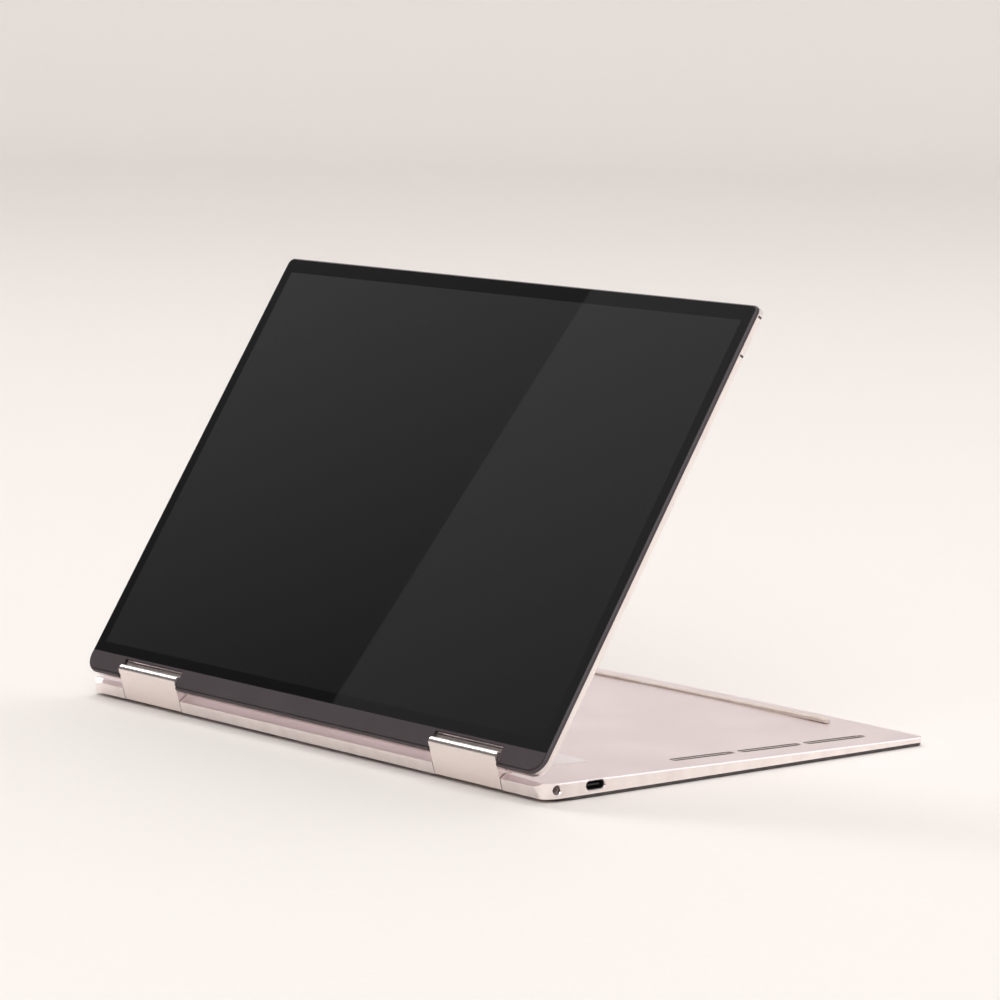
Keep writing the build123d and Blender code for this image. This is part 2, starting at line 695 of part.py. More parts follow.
def make_lid_bezel():
    """The dark frame: a bumper rim round the glass, a ledge under it and the chin below it."""
    bezel = slab(lid_outline(0.15), -BEZEL_DEPTH, 0)
    bezel = fillet(bezel.faces().sort_by(Axis.Z)[-1].edges(), RIM_ROUND)
    bezel -= slab(glass_outline(0.05), -GLASS_THICK - 0.02, 1)
    bezel -= slab(outline(HALF - 3.2, CHIN + 1.2, LID_HEIGHT - 3.2, 0.5, 1.0), -2, 1)
    bezel -= slab(outline(HALF - 3.2, 1.2, CHIN + 3, 4.0, 1.0), -2, -CHIN_PLATE)
    groove = slab(lid_outline(GLASS_INSET), -0.35, 1) - slab(lid_outline(GLASS_INSET + 0.3), -1, 2)
    bezel -= groove & box(-HALF, HALF, 0, CHIN - 0.2, -1, 2)
    front_notch = box(LINK_INNER_X - LINK_GAP, LINK_OUTER_X + LINK_GAP, -3, CHIN - 1.05, -2, 1)
    for cut in trough(0) + lid_shaft_holes() + both_sides(front_notch):
        bezel -= cut
    return on_lid(bezel)


def glass_outline(grow):
    corner = LID_HIGH_CORNER - GLASS_INSET + grow
    return outline(
        HALF - GLASS_INSET + grow, CHIN - grow, LID_HEIGHT - GLASS_INSET + grow, 0.4 + grow, corner
    )


def make_cover_glass():
    glass = slab(glass_outline(0), -GLASS_THICK, 0)
    return on_lid(chamfer(glass.faces().sort_by(Axis.Z)[-1].edges(), 0.12))


def make_display_panel():
    low = -GLASS_THICK - 0.05 - PANEL_THICK
    return on_lid(box(-143.5, 143.5, CHIN + 2, LID_HEIGHT - 6.6, low, -GLASS_THICK - 0.05))


def make_display_board():
    return on_lid(box(-60, 60, 2.2, 8.6, -3.4, -2.5))


def make_camera_module():
    block = box(-9, 9, LID_HEIGHT - 6.2, LID_HEIGHT - 3.7, -3.4, -1.5)
    lens = Pos(0, LID_HEIGHT - 4.95, -1.15) * Cylinder(0.7, 0.8)
    return on_lid(block + lens)


def make_microphones():
    blocks = both_sides(box(34, 37.4, LID_HEIGHT - 3.6, LID_HEIGHT - 1.4, -2.6, -1.5))
    return on_lid(Compound(children=blocks))


def make_antenna_inserts():
    pieces = []
    for slot in antenna_slots(0):
        pieces.append(on_lid(slot))
    return Compound(children=pieces)


def make_lid_magnets():
    blocks = [box(x - 8, x + 8, LID_HEIGHT - 3.8, LID_HEIGHT - 1.4, -3.6, -1.5) for x in (-90, -55, 55, 90)]
    return on_lid(Compound(children=blocks))


def make_lid_bracket():
    """A barrel that holds the lid shaft fast, with a foot on the inside of the shell."""
    axis = (LID_AXIS_UP, -LID_AXIS_BEHIND)
    bracket = rod(BRACKET_INNER_X, BRACKET_OUTER_X - 0.2, *axis, 1.4)
    bracket += box(BRACKET_INNER_X, BRACKET_OUTER_X - 0.2, LID_AXIS_UP, 14, -3.65, -2.9)
    return on_lid(bracket - rod(0, HALF, *axis, LID_SHAFT_R + SET))


def nodes():
    """Every node's name and shape. The left pieces mirror the right ones."""
    made = {
        "base_cover": make_base_cover(),
        "keyboard_deck": make_deck(),
        "front_foot": make_foot(FRONT_FOOT_Y, FOOT_HALF_LENGTH),
        "rear_foot": make_foot(REAR_FOOT_Y, FOOT_HALF_LENGTH - 30),
        "rating_label": make_label(),
        "cover_screws": make_cover_screws(),
        "keyboard_tray": make_keyboard_tray(),
        "touchpad": pad_block(0, PAD_RECESS, PAD_RECESS + PAD_THICK),
        "touchpad_bracket": make_touchpad_bracket(),
        "battery_cells": make_battery_cells(),
        "battery_board": make_battery_board(),
        "mainboard": make_mainboard(),
        "processor": make_processor(),
        "memory_chips": make_memory_chips(),
        "wireless_card": make_wireless_card(),
        "heat_pipe": make_heat_pipe(),
        "cooling_fins": make_cooling_fins(),
        "speaker_meshes": make_speaker_mesh(),
        "usb_port_right": make_usb_port(1),
        "usb_port_left": make_usb_port(-1),
        "headphone_jack": make_headphone_jack(),
        "card_slot": make_card_slot(),
        "base_magnets": make_base_magnets(),
        "bracket_screws": make_bracket_screws(),
        "lid_shell": make_lid_shell(),
        "lid_bezel": make_lid_bezel(),
        "cover_glass": make_cover_glass(),
        "display_panel": make_display_panel(),
        "display_board": make_display_board(),
        "camera_module": make_camera_module(),
        "microphones": make_microphones(),
        "antenna_inserts": make_antenna_inserts(),
        "lid_magnets": make_lid_magnets(),
    }
    pairs = {
        "fan_housing": make_fan_housing(),
        "fan_rotor": make_fan_rotor(),
        "speaker": make_speaker(),
        "base_bracket": make_base_bracket(),
        "base_shaft": make_base_shaft(),
        "lid_bracket": make_lid_bracket(),
        "lid_shaft": make_lid_shaft(),
        "hinge_frame": make_link_frame(),
        "hinge_cover": make_link_cover(),
    }
    for name, right in pairs.items():
        made[name + "_right"] = right
        made[name + "_left"] = mirror(right, about=Plane.YZ)
    for name, rectangles in row_rectangles().items():
        made[name] = make_keys(rectangles)
    return made


os.makedirs("parts", exist_ok=True)
for name, shape in nodes().items():
    export_step(shape, f"parts/{name}.step")
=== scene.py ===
import math

import bmesh
import bpy
from mathutils import Matrix, Vector


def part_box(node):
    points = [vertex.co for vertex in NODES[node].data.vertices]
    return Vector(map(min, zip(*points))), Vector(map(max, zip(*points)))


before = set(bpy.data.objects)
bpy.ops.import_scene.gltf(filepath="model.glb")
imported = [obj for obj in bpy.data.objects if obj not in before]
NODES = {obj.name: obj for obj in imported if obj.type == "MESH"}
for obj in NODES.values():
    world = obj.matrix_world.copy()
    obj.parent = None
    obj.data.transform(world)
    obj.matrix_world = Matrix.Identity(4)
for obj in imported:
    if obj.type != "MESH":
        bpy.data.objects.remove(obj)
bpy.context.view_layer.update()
MM = 0.001

# ---------------------------------------------------------------- places on the model
HALF_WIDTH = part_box("base_cover")[1].x
LID_LEAN = math.radians(57.48)
UP_LID = Vector((0.0, math.cos(LID_LEAN), math.sin(LID_LEAN)))
LID_FACES = (0.0, -math.sin(LID_LEAN), math.cos(LID_LEAN))
FOOT_OF_GLASS = Vector(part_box("cover_glass")[0]).dot(UP_LID)
GLASS_LENGTH = 194.95 * MM
GLASS_BORDER_LOW = 4.9 * MM
GLASS_BORDER_HIGH = 6.1 * MM
SCREEN_INSET = 6.08 * MM          # from the base's side to the visible display
LINK_LEAN = math.radians(16.5)
LINK_TOP = 11.69 * MM             # from the base axis to the hinge cover's lid end

# a Mix node's sockets by their place, because several of them share one name
SHARE, VALUE_A, VALUE_B, COLOUR_A, COLOUR_B = 0, 2, 3, 6, 7
MIXED_VALUE, MIXED_COLOUR = 0, 2

# noise seldom leaves this middle part of its range, which is spread over a finish's own range
LUMPS = {"From Min": 0.3, "From Max": 0.7}


# ---------------------------------------------------------------- node helpers
def linear(code):
    """An sRGB hex colour as the linear colour that a shader takes."""
    parts = [int(code[i:i + 2], 16) / 255 for i in (1, 3, 5)]
    return (*[c / 12.92 if c <= 0.04045 else ((c + 0.055) / 1.055) ** 2.4 for c in parts], 1.0)


def add(tree, kind, output, sockets=None, **settings):
    """Adds one node with its settings, gives each socket a value or a link, and returns one output."""
    node = tree.nodes.new(kind)
    for name, value in settings.items():
        setattr(node, name, value)
    for key, value in (sockets or {}).items():
        if isinstance(value, bpy.types.NodeSocket):
            tree.links.new(value, node.inputs[key])
        else:
            node.inputs[key].default_value = value
    return None if output is None else node.outputs[output]


def start(name):
    """An empty material, and the tree that its nodes go into."""
    made = bpy.data.materials.new(name)
    made.use_nodes = True
    made.node_tree.nodes.clear()
    return made, made.node_tree


# ---------------------------------------------------------------- finishes seen on the outside
def satin_anodised_aluminium(name, colours, flat_faces):
    """Machined aluminium, bead-blasted and anodised: soft broad reflections over a fine even grain.

    Its walls, which stand across the direction flat_faces, are milled bright with a fine tool afterwards.
    """
    made, tree = start(name)
    point = add(tree, "ShaderNodeTexCoord", "Object")
    # the blast grain is finer, and is drawn as coarse as it needs to be to show
    grain = add(tree, "ShaderNodeTexNoise", "Fac",
                {"Vector": point, "Scale": 1 / (0.5 * MM), "Detail": 2.0})
    # faint cloudiness that handling leaves
    clouds = add(tree, "ShaderNodeTexNoise", "Fac",
                 {"Vector": point, "Scale": 1 / (38 * MM), "Detail": 2.0})
    cloudy = add(tree, "ShaderNodeMapRange", "Result", LUMPS | {"Value": clouds})
    face_tone = add(tree, "ShaderNodeMix", MIXED_COLOUR, {
        SHARE: cloudy,
        COLOUR_A: linear(colours[0]),
        COLOUR_B: linear(colours[1]),
    }, data_type="RGBA")
    grain_rough = add(tree, "ShaderNodeMapRange", "Result",
                      LUMPS | {"Value": grain, "To Min": 0.30, "To Max": 0.38})
    cloud_rough = add(tree, "ShaderNodeMapRange", "Result",
                      LUMPS | {"Value": clouds, "To Min": -0.02, "To Max": 0.02})
    face_rough = add(tree, "ShaderNodeMath", "Value", {0: grain_rough, 1: cloud_rough}, operation="ADD")

    facing = add(tree, "ShaderNodeTexCoord", "Normal")
    square_on = add(tree, "ShaderNodeVectorMath", "Value",
                    {0: facing, 1: flat_faces}, operation="DOT_PRODUCT")
    flatness = add(tree, "ShaderNodeMath", "Value", {0: square_on}, operation="ABSOLUTE")
    wall = add(tree, "ShaderNodeMapRange", "Result", {
        "Value": flatness,
        "From Min": 0.42,
        "From Max": 0.5,
        "To Min": 1.0,
        "To Max": 0.0,
    })
    # tool lines along the walls, and slower changes along them
    drawn_out = add(tree, "ShaderNodeMapping", "Vector", {"Vector": point, "Scale": (0.12, 0.12, 6.0)})
    lines = add(tree, "ShaderNodeTexNoise", "Fac",
                {"Vector": drawn_out, "Scale": 1 / (0.5 * MM), "Detail": 3.0})
    upright = add(tree, "ShaderNodeMapping", "Vector", {"Vector": point, "Scale": (1.0, 1.0, 0.05)})
    streaks = add(tree, "ShaderNodeTexNoise", "Fac",
                  {"Vector": upright, "Scale": 1 / (7 * MM), "Detail": 3.0})
    streaky = add(tree, "ShaderNodeMapRange", "Result", LUMPS | {"Value": streaks})
    wall_tone = add(tree, "ShaderNodeMix", MIXED_COLOUR, {
        SHARE: streaky,
        COLOUR_A: linear("#f1e8e5"),
        COLOUR_B: linear("#fcf5f2"),
    }, data_type="RGBA")
    line_rough = add(tree, "ShaderNodeMapRange", "Result",
                     LUMPS | {"Value": lines, "To Min": 0.10, "To Max": 0.18})
    streak_rough = add(tree, "ShaderNodeMapRange", "Result",
                       LUMPS | {"Value": streaks, "To Min": 0.0, "To Max": 0.06})
    wall_rough = add(tree, "ShaderNodeMath", "Value", {0: line_rough, 1: streak_rough}, operation="ADD")

    tone = add(tree, "ShaderNodeMix", MIXED_COLOUR,
               {SHARE: wall, COLOUR_A: face_tone, COLOUR_B: wall_tone}, data_type="RGBA")
    rough = add(tree, "ShaderNodeMix", MIXED_VALUE, {SHARE: wall, VALUE_A: face_rough, VALUE_B: wall_rough})
    depth = add(tree, "ShaderNodeMix", MIXED_VALUE, {SHARE: wall, VALUE_A: grain, VALUE_B: 0.5})
    relief = add(tree, "ShaderNodeBump", "Normal",
                 {"Height": depth, "Distance": 0.006 * MM, "Strength": 0.3})
    surface = add(tree, "ShaderNodeBsdfPrincipled", "BSDF", {
        "Base Color": tone,
        "Metallic": 1.0,
        "Roughness": rough,
        "Normal": relief,
    })
    add(tree, "ShaderNodeOutputMaterial", None, {"Surface": surface})
    return made


def satin_hinge_metal():
    """Hinge cover: die-cast, blasted to the same satin as the casing, with its lid end cut bright, and a
    painted shade in the groove of that end.
    """
    made, tree = start("satin_hinge_metal")
    point = add(tree, "ShaderNodeTexCoord", "Object")
    grain = add(tree, "ShaderNodeTexNoise", "Fac",
                {"Vector": point, "Scale": 1 / (0.5 * MM), "Detail": 2.0})
    grainy = add(tree, "ShaderNodeMapRange", "Result", LUMPS | {"Value": grain})
    satin = add(tree, "ShaderNodeMix", MIXED_COLOUR, {
        SHARE: grainy,
        COLOUR_A: linear("#f3e8e4"),
        COLOUR_B: linear("#f9efeb"),
    }, data_type="RGBA")
    satin_rough = add(tree, "ShaderNodeMapRange", "Result",
                      LUMPS | {"Value": grain, "To Min": 0.30, "To Max": 0.38})

    drawn_out = add(tree, "ShaderNodeMapping", "Vector", {"Vector": point, "Scale": (0.05, 1.0, 1.0)})
    lines = add(tree, "ShaderNodeTexNoise", "Fac",
                {"Vector": drawn_out, "Scale": 1 / (0.4 * MM), "Detail": 3.0})
    lined = add(tree, "ShaderNodeMapRange", "Result", LUMPS | {"Value": lines})
    bright = add(tree, "ShaderNodeMix", MIXED_COLOUR, {
        SHARE: lined,
        COLOUR_A: linear("#f2ecea"),
        COLOUR_B: linear("#fbf7f5"),
    }, data_type="RGBA")
    bright_rough = add(tree, "ShaderNodeMapRange", "Result",
                       LUMPS | {"Value": lines, "To Min": 0.24, "To Max": 0.30})

    facing = add(tree, "ShaderNodeTexCoord", "Normal")
    up = add(tree, "ShaderNodeSeparateXYZ", "Z", {"Vector": facing})
    lid_end = add(tree, "ShaderNodeMapRange", "Result", {"Value": up, "From Min": 0.45, "From Max": 0.6})
    tone = add(tree, "ShaderNodeMix", MIXED_COLOUR,
               {SHARE: lid_end, COLOUR_A: satin, COLOUR_B: bright}, data_type="RGBA")
    rough = add(tree, "ShaderNodeMix", MIXED_VALUE,
                {SHARE: lid_end, VALUE_A: satin_rough, VALUE_B: bright_rough})

    # painted shade: the front of the groove in the lid end is painted dark, standing in for its shadow
    shade_top, shade_foot = LINK_TOP - 0.03 * MM, LINK_TOP - 0.8 * MM
    shade_front, shade_back = -0.95 * MM, -0.1 * MM
    along = Vector((0.0, -math.sin(LINK_LEAN), math.cos(LINK_LEAN)))
    across = Vector((0.0, math.cos(LINK_LEAN), math.sin(LINK_LEAN)))
    base_axis = sum((Vector(corner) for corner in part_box("base_shaft_right")), Vector()) / 2
    spans = []
    for direction, low, high in ((along, shade_foot, shade_top), (across, shade_front, shade_back)):
        place = add(tree, "ShaderNodeVectorMath", "Value",
                    {0: point, 1: direction}, operation="DOT_PRODUCT")
        middle = base_axis.dot(direction) + (low + high) / 2
        spans.append(add(tree, "ShaderNodeMath", "Value",
                         {0: place, 1: middle, 2: (high - low) / 2}, operation="COMPARE"))
    painted_groove_shade = add(tree, "ShaderNodeMath", "Value", {0: spans[0], 1: spans[1]}, operation="MULTIPLY")
    # the groove's painted shade: a dark, matt, non-metallic colour
    shaded_tone = add(tree, "ShaderNodeMix", MIXED_COLOUR,
                      {SHARE: painted_groove_shade, COLOUR_A: tone, COLOUR_B: linear("#3a3435")}, data_type="RGBA")
    shaded_rough = add(tree, "ShaderNodeMix", MIXED_VALUE, {SHARE: painted_groove_shade, VALUE_A: rough, VALUE_B: 0.6})
    metal = add(tree, "ShaderNodeMath", "Value", {0: 1.0, 1: painted_groove_shade}, operation="SUBTRACT")
    relief = add(tree, "ShaderNodeBump", "Normal",
                 {"Height": grain, "Distance": 0.004 * MM, "Strength": 0.25})
    surface = add(tree, "ShaderNodeBsdfPrincipled", "BSDF", {
        "Base Color": shaded_tone,
        "Metallic": metal,
        "Roughness": shaded_rough,
        "Normal": relief,
    })
    add(tree, "ShaderNodeOutputMaterial", None, {"Surface": surface})
    return made


def moulded_polycarbonate(name, colours, rough=(0.42, 0.56), grain_mm=0.5):
    """Spark-textured moulded plastic: a fine matt grain that breaks up highlights."""
    made, tree = start(name)
    point = add(tree, "ShaderNodeTexCoord", "Object")
    grain = add(tree, "ShaderNodeTexNoise", "Fac",
                {"Vector": point, "Scale": 1 / (grain_mm * MM), "Detail": 3.0})
    clouds = add(tree, "ShaderNodeTexNoise", "Fac",
                 {"Vector": point, "Scale": 1 / (25 * MM), "Detail": 1.0})
    cloudy = add(tree, "ShaderNodeMapRange", "Result", LUMPS | {"Value": clouds})
    tone = add(tree, "ShaderNodeMix", MIXED_COLOUR, {
        SHARE: cloudy,
        COLOUR_A: linear(colours[0]),
        COLOUR_B: linear(colours[1]),
    }, data_type="RGBA")
    grain_rough = add(tree, "ShaderNodeMapRange", "Result",
                      LUMPS | {"Value": grain, "To Min": rough[0], "To Max": rough[1]})
    relief = add(tree, "ShaderNodeBump", "Normal",
                 {"Height": grain, "Distance": 0.02 * MM, "Strength": 0.6})
    surface = add(tree, "ShaderNodeBsdfPrincipled", "BSDF", {
        "Base Color": tone,
        "Roughness": grain_rough,
        "IOR": 1.58,
        "Normal": relief,
    })
    add(tree, "ShaderNodeOutputMaterial", None, {"Surface": surface})
    return made


def woven_carbon_deck():
    """Carbon fibre laminate under a matt clear coat: a twill of 2 mm tows seen faintly through the coat."""
    made, tree = start("woven_carbon_deck")
    point = add(tree, "ShaderNodeTexCoord", "Object")
    tow = 2.0 * MM
    fibres_per_tow = 4
    tows = add(tree, "ShaderNodeVectorMath", "Vector", {0: point, "Scale": 1 / tow}, operation="SCALE")
    whole_tows = add(tree, "ShaderNodeVectorMath", "Vector", {0: tows}, operation="FLOOR")
    step = add(tree, "ShaderNodeVectorMath", "Value",
               {0: whole_tows, 1: (1, 1, 0)}, operation="DOT_PRODUCT")
    turn = add(tree, "ShaderNodeMath", "Value", {0: step, 1: 4.0}, operation="FLOORED_MODULO")
    over = add(tree, "ShaderNodeMath", "Value", {0: turn, 1: 2.0}, operation="LESS_THAN")
    ridges = []
    for axis in ("X", "Y"):
        place = add(tree, "ShaderNodeSeparateXYZ", axis, {"Vector": tows})
        waves = add(tree, "ShaderNodeMath", "Value",
                    {0: place, 1: math.tau * fibres_per_tow}, operation="MULTIPLY")
        ridges.append(add(tree, "ShaderNodeMath", "Value", {0: waves}, operation="SINE"))
    fibres = add(tree, "ShaderNodeMix", MIXED_VALUE, {SHARE: over, VALUE_A: ridges[0], VALUE_B: ridges[1]})
    tone = add(tree, "ShaderNodeMix", MIXED_COLOUR, {
        SHARE: over,
        COLOUR_A: linear("#2b2626"),
        COLOUR_B: linear("#3a3433"),
    }, data_type="RGBA")
    grain = add(tree, "ShaderNodeTexNoise", "Fac",
                {"Vector": point, "Scale": 1 / (0.6 * MM), "Detail": 3.0})
    rough = add(tree, "ShaderNodeMapRange", "Result",
                LUMPS | {"Value": grain, "To Min": 0.40, "To Max": 0.52})
    relief = add(tree, "ShaderNodeBump", "Normal",
                 {"Height": fibres, "Distance": 0.008 * MM, "Strength": 0.35})
    surface = add(tree, "ShaderNodeBsdfPrincipled", "BSDF", {
        "Base Color": tone,
        "Roughness": rough,
        "IOR": 1.55,
        "Coat Weight": 0.35,
        "Coat Roughness": 0.28,
        "Normal": relief,
    })
    add(tree, "ShaderNodeOutputMaterial", None, {"Surface": surface})
    return made


def back_printed_glass():
    """Toughened cover glass bonded to the panel: a black printed border round the unlit display.

    Ink and panel lie right behind the glass, so their colours are drawn on it and the glass gives the gloss.
    The panel also carries a painted reflection, lighter towards its top and left.
    """
    made, tree = start("back_printed_glass")
    point = add(tree, "ShaderNodeTexCoord", "Object")
    up_lid = add(tree, "ShaderNodeVectorMath", "Value", {0: point, 1: UP_LID}, operation="DOT_PRODUCT")
    sideways = add(tree, "ShaderNodeSeparateXYZ", "X", {"Vector": point})
    screen_foot = FOOT_OF_GLASS + GLASS_BORDER_LOW
    screen_top = FOOT_OF_GLASS + GLASS_LENGTH - GLASS_BORDER_HIGH
    screen_side = HALF_WIDTH - SCREEN_INSET
    in_rows = add(tree, "ShaderNodeMath", "Value", {
        0: up_lid,
        1: (screen_foot + screen_top) / 2,
        2: (screen_top - screen_foot) / 2,
    }, operation="COMPARE")
    in_columns = add(tree, "ShaderNodeMath", "Value",
                     {0: sideways, 1: 0.0, 2: screen_side}, operation="COMPARE")
    screen = add(tree, "ShaderNodeMath", "Value", {0: in_rows, 1: in_columns}, operation="MULTIPLY")
    # painted reflection: the unlit panel is painted lighter towards its top and left than low down on the
    # right
    height = add(tree, "ShaderNodeMapRange", "Result", {
        "Value": up_lid,
        "From Min": FOOT_OF_GLASS,
        "From Max": FOOT_OF_GLASS + GLASS_LENGTH,
        "To Max": 0.6,
    })
    leftward = add(tree, "ShaderNodeMapRange", "Result", {
        "Value": sideways,
        "From Min": -screen_side,
        "From Max": screen_side,
        "To Min": 0.4,
        "To Max": 0.0,
    })
    painted_reflection = add(tree, "ShaderNodeMath", "Value", {0: height, 1: leftward}, operation="ADD")
    panel = add(tree, "ShaderNodeMix", MIXED_COLOUR, {
        SHARE: painted_reflection,
        COLOUR_A: linear("#0f0f10"),
        COLOUR_B: linear("#313132"),
    }, data_type="RGBA")
    tone = add(tree, "ShaderNodeMix", MIXED_COLOUR,
               {SHARE: screen, COLOUR_A: linear("#0a0a0b"), COLOUR_B: panel}, data_type="RGBA")
    film = add(tree, "ShaderNodeTexNoise", "Fac", {"Vector": point, "Scale": 1 / (60 * MM), "Detail": 1.0})
    rough = add(tree, "ShaderNodeMapRange", "Result",
                LUMPS | {"Value": film, "To Min": 0.008, "To Max": 0.014})
    surface = add(tree, "ShaderNodeBsdfPrincipled", "BSDF", {
        "Base Color": tone,
        "Roughness": rough,
        "IOR": 1.52,
    })
    add(tree, "ShaderNodeOutputMaterial", None, {"Surface": surface})
    return made


def silicone_rubber():
    """Moulded silicone: matt, slightly waxy, with a faint bloom of dust."""
    made, tree = start("silicone_rubber")
    point = add(tree, "ShaderNodeTexCoord", "Object")
    grain = add(tree, "ShaderNodeTexNoise", "Fac",
                {"Vector": point, "Scale": 1 / (0.6 * MM), "Detail": 3.0})
    dust = add(tree, "ShaderNodeTexNoise", "Fac", {"Vector": point, "Scale": 1 / (9 * MM), "Detail": 2.0})
    dusty = add(tree, "ShaderNodeMapRange", "Result", LUMPS | {"Value": dust})
    tone = add(tree, "ShaderNodeMix", MIXED_COLOUR, {
        SHARE: dusty,
        COLOUR_A: linear("#cdbfb2"),
        COLOUR_B: linear("#ddd2c8"),
    }, data_type="RGBA")
    rough = add(tree, "ShaderNodeMapRange", "Result",
                LUMPS | {"Value": grain, "To Min": 0.62, "To Max": 0.78})
    relief = add(tree, "ShaderNodeBump", "Normal",
                 {"Height": grain, "Distance": 0.02 * MM, "Strength": 0.5})
    surface = add(tree, "ShaderNodeBsdfPrincipled", "BSDF", {
        "Base Color": tone,
        "Roughness": rough,
        "IOR": 1.41,
        "Subsurface Weight": 0.05,
        "Subsurface Radius": (0.001, 0.0008, 0.0006),
        "Normal": relief,
    })
    add(tree, "ShaderNodeOutputMaterial", None, {"Surface": surface})
    return made


def matt_polyester_film():
    """Blank self-adhesive film: even, slightly brighter than the cover under it."""
    made, tree = start("matt_polyester_film")
    point = add(tree, "ShaderNodeTexCoord", "Object")
    grain = add(tree, "ShaderNodeTexNoise", "Fac",
                {"Vector": point, "Scale": 1 / (0.8 * MM), "Detail": 2.0})
    grainy = add(tree, "ShaderNodeMapRange", "Result", LUMPS | {"Value": grain})
    tone = add(tree, "ShaderNodeMix", MIXED_COLOUR, {
        SHARE: grainy,
        COLOUR_A: linear("#f1eaeb"),
        COLOUR_B: linear("#f7f1f2"),
    }, data_type="RGBA")
    rough = add(tree, "ShaderNodeMapRange", "Result",
                LUMPS | {"Value": grain, "To Min": 0.42, "To Max": 0.55})
    relief = add(tree, "ShaderNodeBump", "Normal",
                 {"Height": grain, "Distance": 0.01 * MM, "Strength": 0.4})
    surface = add(tree, "ShaderNodeBsdfPrincipled", "BSDF", {
        "Base Color": tone,
        "Roughness": rough,
        "IOR": 1.57,
        "Normal": relief,
    })
    add(tree, "ShaderNodeOutputMaterial", None, {"Surface": surface})
    return made


def woven_wire_mesh():
    """Fine black-oxide steel gauze: 0.8 mm squares, drawn coarser than the real 0.3 mm so that they show."""
    made, tree = start("woven_wire_mesh")
    point = add(tree, "ShaderNodeTexCoord", "Object")
    pitch = 0.8 * MM
    strands = []
    for axis in ("X", "Y"):
        place = add(tree, "ShaderNodeSeparateXYZ", axis, {"Vector": point})
        turns = add(tree, "ShaderNodeMath", "Value", {0: place, 1: math.tau / pitch}, operation="MULTIPLY")
        strands.append(add(tree, "ShaderNodeMath", "Value", {0: turns}, operation="SINE"))
    weave = add(tree, "ShaderNodeMath", "Value", {0: strands[0], 1: strands[1]}, operation="MAXIMUM")
    wire = {"Value": weave, "From Min": 0.1, "From Max": 0.6}
    wiry = add(tree, "ShaderNodeMapRange", "Result", wire)
    tone = add(tree, "ShaderNodeMix", MIXED_COLOUR, {
        SHARE: wiry,
        COLOUR_A: linear("#0d100f"),
        COLOUR_B: linear("#4c5450"),
    }, data_type="RGBA")
    metal = add(tree, "ShaderNodeMapRange", "Result", wire | {"To Max": 0.8})
    relief = add(tree, "ShaderNodeBump", "Normal",
                 {"Height": weave, "Distance": 0.12 * MM, "Strength": 0.8})
    surface = add(tree, "ShaderNodeBsdfPrincipled", "BSDF", {
        "Base Color": tone,
        "Metallic": metal,
        "Roughness": 0.45,
        "Normal": relief,
    })
    add(tree, "ShaderNodeOutputMaterial", None, {"Surface": surface})
    return made


def drawn_port_steel():
    """Deep-drawn stainless shell with a black moulded tongue inside it."""
    made, tree = start("drawn_port_steel")
    point = add(tree, "ShaderNodeTexCoord", "Object")
    drawn_out = add(tree, "ShaderNodeMapping", "Vector", {"Vector": point, "Scale": (0.2, 1.0, 1.0)})
    lines = add(tree, "ShaderNodeTexNoise", "Fac",
                {"Vector": drawn_out, "Scale": 1 / (0.3 * MM), "Detail": 3.0})
    middle = sum((Vector(corner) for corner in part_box("usb_port_right")), Vector()) / 2
    half_tongue = {"Y": 3.5 * MM, "Z": 0.5 * MM}
    spans = []
    for axis, half in half_tongue.items():
        place = add(tree, "ShaderNodeSeparateXYZ", axis, {"Vector": point})
        spans.append(add(tree, "ShaderNodeMath", "Value",
                         {0: place, 1: getattr(middle, axis.lower()), 2: half}, operation="COMPARE"))
    tongue = add(tree, "ShaderNodeMath", "Value", {0: spans[0], 1: spans[1]}, operation="MULTIPLY")
    tone = add(tree, "ShaderNodeMix", MIXED_COLOUR, {
        SHARE: tongue,
        COLOUR_A: linear("#8f8d8e"),
        COLOUR_B: linear("#141314"),
    }, data_type="RGBA")
    metal = add(tree, "ShaderNodeMath", "Value", {0: 1.0, 1: tongue}, operation="SUBTRACT")
    rough = add(tree, "ShaderNodeMapRange", "Result",
                LUMPS | {"Value": lines, "To Min": 0.28, "To Max": 0.42})
    relief = add(tree, "ShaderNodeBump", "Normal",
                 {"Height": lines, "Distance": 0.01 * MM, "Strength": 0.4})
    surface = add(tree, "ShaderNodeBsdfPrincipled", "BSDF", {
        "Base Color": tone,
        "Metallic": metal,
        "Roughness": rough,
        "Normal": relief,
    })
    add(tree, "ShaderNodeOutputMaterial", None, {"Surface": surface})
    return made


def brushed_metal(name, colours, stretch=(0.1, 1.0, 1.0)):
    """Cold-rolled or turned metal: fine parallel grain, which is drawn out where stretch is small."""
    made, tree = start(name)
    point = add(tree, "ShaderNodeTexCoord", "Object")
    drawn_out = add(tree, "ShaderNodeMapping", "Vector", {"Vector": point, "Scale": stretch})
    lines = add(tree, "ShaderNodeTexNoise", "Fac",
                {"Vector": drawn_out, "Scale": 1 / (0.4 * MM), "Detail": 4.0})
    lined = add(tree, "ShaderNodeMapRange", "Result", LUMPS | {"Value": lines})
    tone = add(tree, "ShaderNodeMix", MIXED_COLOUR, {
        SHARE: lined,
        COLOUR_A: linear(colours[0]),
        COLOUR_B: linear(colours[1]),
    }, data_type="RGBA")
    rough = add(tree, "ShaderNodeMapRange", "Result",
                LUMPS | {"Value": lines, "To Min": 0.25, "To Max": 0.40})
    relief = add(tree, "ShaderNodeBump", "Normal",
                 {"Height": lines, "Distance": 0.01 * MM, "Strength": 0.5})
    surface = add(tree, "ShaderNodeBsdfPrincipled", "BSDF", {
        "Base Color": tone,
        "Metallic": 1.0,
        "Roughness": rough,
        "Normal": relief,
    })
    add(tree, "ShaderNodeOutputMaterial", None, {"Surface": surface})
    return made


